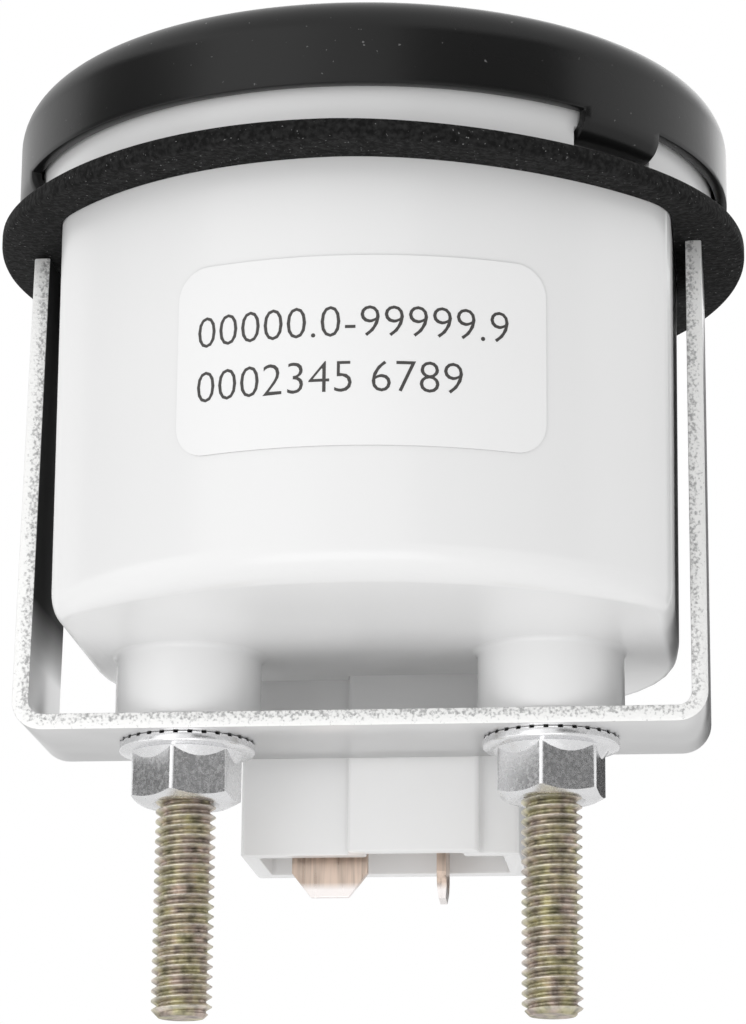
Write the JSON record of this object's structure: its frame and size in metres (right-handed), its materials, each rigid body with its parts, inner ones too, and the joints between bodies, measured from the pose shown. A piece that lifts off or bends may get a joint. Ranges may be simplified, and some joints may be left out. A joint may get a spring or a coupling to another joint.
{
  "type": "hour meter",
  "caption": "Round panel hour meter: crimped black bezel, foam gasket, white body, U clamp bracket on threaded studs, shrouded blade connector and a geared number wheel counter.",
  "frame": {"origin": "centre of the panel seat: the rear face of the panel gasket, on the axis of the round body", "axes": "+Z out of the panel through the dial, +X along the line of the studs and the number wheel shaft, +Y towards the side of the connector shroud"},
  "size_m": [0.0616, 0.0616, 0.0746],
  "materials": {
    "white_plastic": "satin moulded",
    "bezel_black": "semi-gloss black paint",
    "clear_lens": "polished clear",
    "seal_rubber": "soft",
    "foam_rubber": "fine closed-cell foam",
    "label_film": "thin satin film",
    "yellow_zinc": "olive passivated zinc",
    "bright_zinc": "bright zinc",
    "nut_zinc": "bright zinc",
    "tinned_brass": "thinly tinned",
    "dial_black": "matt black",
    "frame_plastic": "natural",
    "gear_plastic": "natural acetal",
    "wheel_black": "matt black",
    "wheel_white": "matt white",
    "plain_steel": "ground",
    "pin_metal": "plated",
    "board_laminate": "solder mask",
    "capacitor_sleeve": "shrink sleeve",
    "can_metal": "drawn can",
    "chip_black": "moulded",
    "resistor_tan": "lacquered"
  },
  "bodies": {
    "case": {"housing": "white_plastic", "bezel": "bezel_black", "lens": "clear_lens", "lens_seal": "seal_rubber", "panel_gasket": "foam_rubber", "label": "label_film", "mounting_studs": "yellow_zinc", "clamp_bracket": "bright_zinc", "flange_nuts": "nut_zinc", "terminal_flat": "tinned_brass", "terminal_cross": "tinned_brass", "dial_plate": "dial_black", "movement_frame": "frame_plastic", "frame_screws": "plain_steel", "wheel_shaft": "plain_steel", "pinion_shaft": "plain_steel", "reduction_pin": "plain_steel", "stepping_motor": "plain_steel", "motor_pins": "pin_metal", "circuit_board": "board_laminate", "capacitor": "capacitor_sleeve", "quartz_crystal": "can_metal", "rectifier": "chip_black", "driver_chip": "chip_black", "resistors": "resistor_tan"},
    "wheel_tenths": {"wheel_tenths": "wheel_white"},
    "wheel_units": {"wheel_units": "wheel_black"},
    "wheel_tens": {"wheel_tens": "wheel_black"},
    "wheel_hundreds": {"wheel_hundreds": "wheel_black"},
    "wheel_thousands": {"wheel_thousands": "wheel_black"},
    "wheel_ten_thousands": {"wheel_ten_thousands": "wheel_black"},
    "transfer_pinion_1": {"transfer_pinion_1": "gear_plastic"},
    "transfer_pinion_2": {"transfer_pinion_2": "gear_plastic"},
    "transfer_pinion_3": {"transfer_pinion_3": "gear_plastic"},
    "transfer_pinion_4": {"transfer_pinion_4": "gear_plastic"},
    "transfer_pinion_5": {"transfer_pinion_5": "gear_plastic"},
    "reduction_gear": {"reduction_gear": "gear_plastic"},
    "motor_pinion": {"motor_pinion": "pin_metal"}
  },
  "joints": [
    {"name": "tenths_turn", "type": "hinge", "parent": "case", "child": "wheel_tenths", "pos_m": [0, 0, -0.0008], "axis": [1, 0, 0], "continuous": true},
    {"name": "units_turn", "type": "hinge", "parent": "case", "child": "wheel_units", "pos_m": [0, 0, -0.0008], "axis": [1, 0, 0], "continuous": true},
    {"name": "tens_turn", "type": "hinge", "parent": "case", "child": "wheel_tens", "pos_m": [0, 0, -0.0008], "axis": [1, 0, 0], "continuous": true},
    {"name": "hundreds_turn", "type": "hinge", "parent": "case", "child": "wheel_hundreds", "pos_m": [0, 0, -0.0008], "axis": [1, 0, 0], "continuous": true},
    {"name": "thousands_turn", "type": "hinge", "parent": "case", "child": "wheel_thousands", "pos_m": [0, 0, -0.0008], "axis": [1, 0, 0], "continuous": true},
    {"name": "ten_thousands_turn", "type": "hinge", "parent": "case", "child": "wheel_ten_thousands", "pos_m": [0, 0, -0.0008], "axis": [1, 0, 0], "continuous": true},
    {"name": "pinion_1_turn", "type": "hinge", "parent": "case", "child": "transfer_pinion_1", "pos_m": [0, 0, -0.0092], "axis": [1, 0, 0], "continuous": true},
    {"name": "pinion_2_turn", "type": "hinge", "parent": "case", "child": "transfer_pinion_2", "pos_m": [0, 0, -0.0092], "axis": [1, 0, 0], "continuous": true},
    {"name": "pinion_3_turn", "type": "hinge", "parent": "case", "child": "transfer_pinion_3", "pos_m": [0, 0, -0.0092], "axis": [1, 0, 0], "continuous": true},
    {"name": "pinion_4_turn", "type": "hinge", "parent": "case", "child": "transfer_pinion_4", "pos_m": [0, 0, -0.0092], "axis": [1, 0, 0], "continuous": true},
    {"name": "pinion_5_turn", "type": "hinge", "parent": "case", "child": "transfer_pinion_5", "pos_m": [0, 0, -0.0092], "axis": [1, 0, 0], "continuous": true},
    {"name": "reduction_turn", "type": "hinge", "parent": "case", "child": "reduction_gear", "pos_m": [0, 0.00624, -0.0044], "axis": [1, 0, 0], "continuous": true},
    {"name": "motor_turn", "type": "hinge", "parent": "case", "child": "motor_pinion", "pos_m": [0, 0.00924, -0.0096], "axis": [1, 0, 0], "continuous": true}
  ],
  "couplings": [
    {"joint": "units_turn", "follows": "tenths_turn", "ratio": 0.1},
    {"joint": "tens_turn", "follows": "tenths_turn", "ratio": 0.01},
    {"joint": "hundreds_turn", "follows": "tenths_turn", "ratio": 0.001},
    {"joint": "thousands_turn", "follows": "tenths_turn", "ratio": 0.0001},
    {"joint": "ten_thousands_turn", "follows": "tenths_turn", "ratio": 0.00001},
    {"joint": "pinion_1_turn", "follows": "tenths_turn", "ratio": -0.25},
    {"joint": "pinion_2_turn", "follows": "tenths_turn", "ratio": -0.025},
    {"joint": "pinion_3_turn", "follows": "tenths_turn", "ratio": -0.0025},
    {"joint": "pinion_4_turn", "follows": "tenths_turn", "ratio": -0.00025},
    {"joint": "pinion_5_turn", "follows": "tenths_turn", "ratio": -0.000025},
    {"joint": "reduction_turn", "follows": "tenths_turn", "ratio": -5},
    {"joint": "motor_turn", "follows": "tenths_turn", "ratio": 25}
  ]
}
